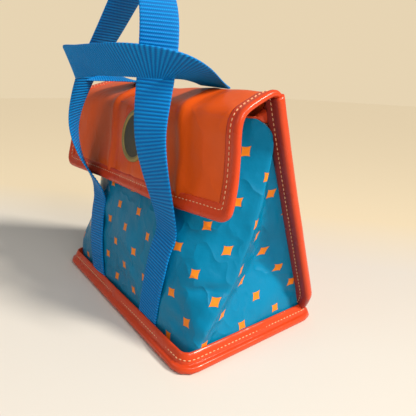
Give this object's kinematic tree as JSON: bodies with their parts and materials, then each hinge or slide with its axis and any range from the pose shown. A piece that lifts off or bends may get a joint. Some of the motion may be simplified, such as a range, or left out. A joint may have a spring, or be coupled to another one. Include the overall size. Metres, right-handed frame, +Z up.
{
  "type": "lunch bag",
  "caption": "Soft insulated lunch bag that stands on a flat base, with folded gussets, a fold-over flap and two webbing handles.",
  "frame": {"origin": "middle of the base panel's underside, on the surface that the bag stands on", "axes": "+Z up; the front, where the flap closes, faces -Y; +X to the right of someone who looks at the front"},
  "size_m": [0.2318, 0.1404, 0.2513],
  "materials": {
    "printed_sheet": "coated cloth with a small staggered diamond print",
    "orange_vinyl": "glossy coated vinyl",
    "orange_tape": "folded vinyl binding with a stitch line",
    "webbing": "ribbed woven webbing",
    "foam": "closed-cell sheet foam",
    "liner": "heat-reflecting film",
    "board": "stiff board",
    "closure": "hook and loop tape",
    "badge": "moulded badge with a raised rim"
  },
  "bodies": {
    "bag": {"outer_wrap": "printed_sheet", "foam_wrap": "foam", "liner_wrap": "liner", "base_panel": "orange_vinyl", "base_board": "board", "base_foam": "foam", "base_liner": "liner", "back_panel": "orange_vinyl", "back_foam": "foam", "back_liner": "liner", "base_binding": "orange_tape", "side_binding_left": "orange_tape", "side_binding_right": "orange_tape", "rim_binding": "orange_tape", "front_strap_left": "webbing", "front_strap_right": "webbing", "back_strap_left": "webbing", "back_strap_right": "webbing", "loop_strip": "closure"},
    "flap": {"flap_cover": "orange_vinyl", "flap_lining": "liner", "flap_binding": "orange_tape", "hook_strip": "closure", "badge": "badge"},
    "front_handle": {"front_handle_loop": "webbing"},
    "back_handle": {"back_handle_loop": "webbing"}
  },
  "joints": [
    {"name": "flap_fold", "type": "hinge", "parent": "bag", "child": "flap", "pos_m": [0, 0.002, 0.1799], "axis": [-1, 0, 0], "range_deg": [0, 140]},
    {"name": "back_handle_lift", "type": "hinge", "parent": "flap", "child": "back_handle", "pos_m": [0, 0.002, 0.1799], "axis": [-1, 0, 0], "range_deg": [0, 80]},
    {"name": "front_handle_drop", "type": "hinge", "parent": "bag", "child": "front_handle", "pos_m": [0, -0.04627, 0.0846], "axis": [1, 0, 0], "range_deg": [0, 110], "deforming": ["front_handle_loop"]}
  ]
}
